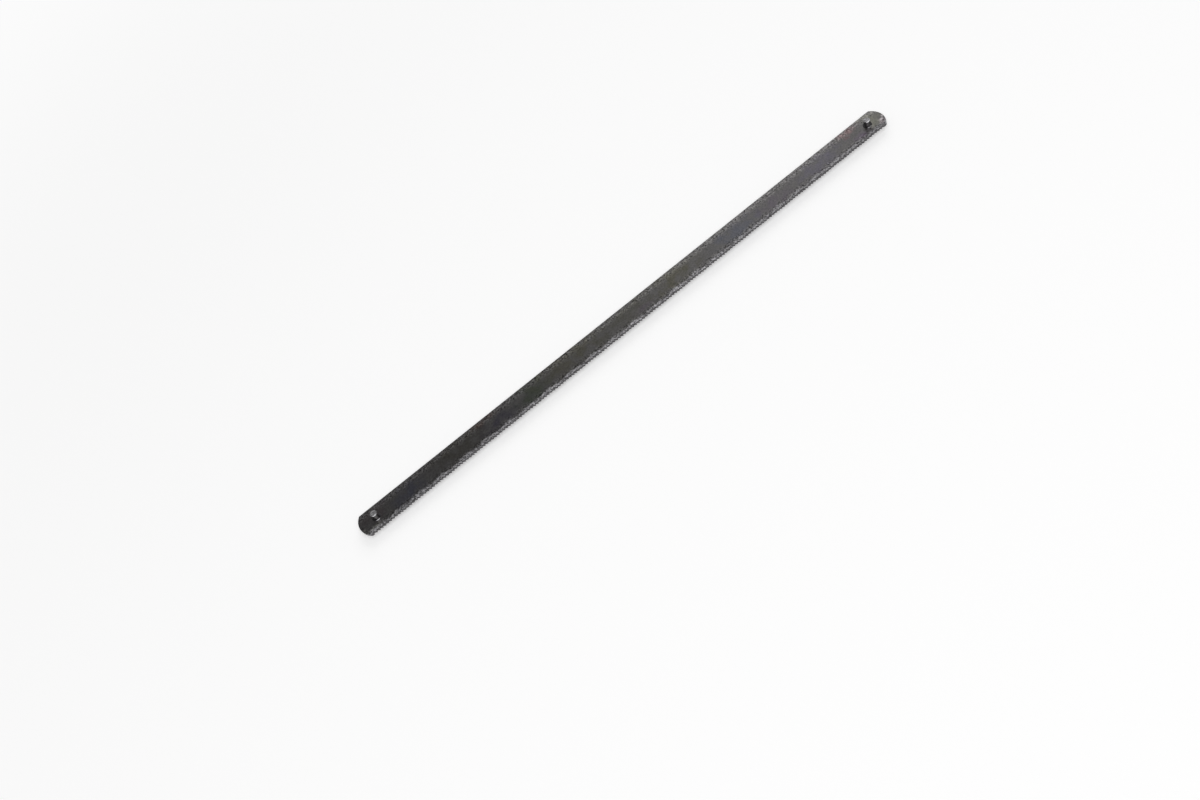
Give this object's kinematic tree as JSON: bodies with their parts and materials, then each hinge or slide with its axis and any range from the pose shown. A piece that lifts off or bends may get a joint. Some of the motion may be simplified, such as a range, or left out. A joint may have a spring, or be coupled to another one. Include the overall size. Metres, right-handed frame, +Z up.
{
  "type": "hacksaw blade",
  "caption": "Narrow steel saw blade with rounded ends, fine wavy-set teeth on one edge and a cross pin near each end that hooks into a saw frame.",
  "frame": {"origin": "mid-length and mid-width of the blade, on the plane of the pins' lower ends", "axes": "+X along the blade to the end that the teeth point at, +Y to the back edge, away from the teeth, +Z up, along the pins"},
  "size_m": [0.154, 0.0064, 0.004],
  "materials": {
    "blade_steel": "hardened and blued, dark and slightly glossy, rubbed grey along the teeth",
    "pin_steel": "dark steel with grey bare ends"
  },
  "bodies": {
    "root": {"blade": "blade_steel", "front_pin": "pin_steel", "rear_pin": "pin_steel"}
  },
  "joints": []
}
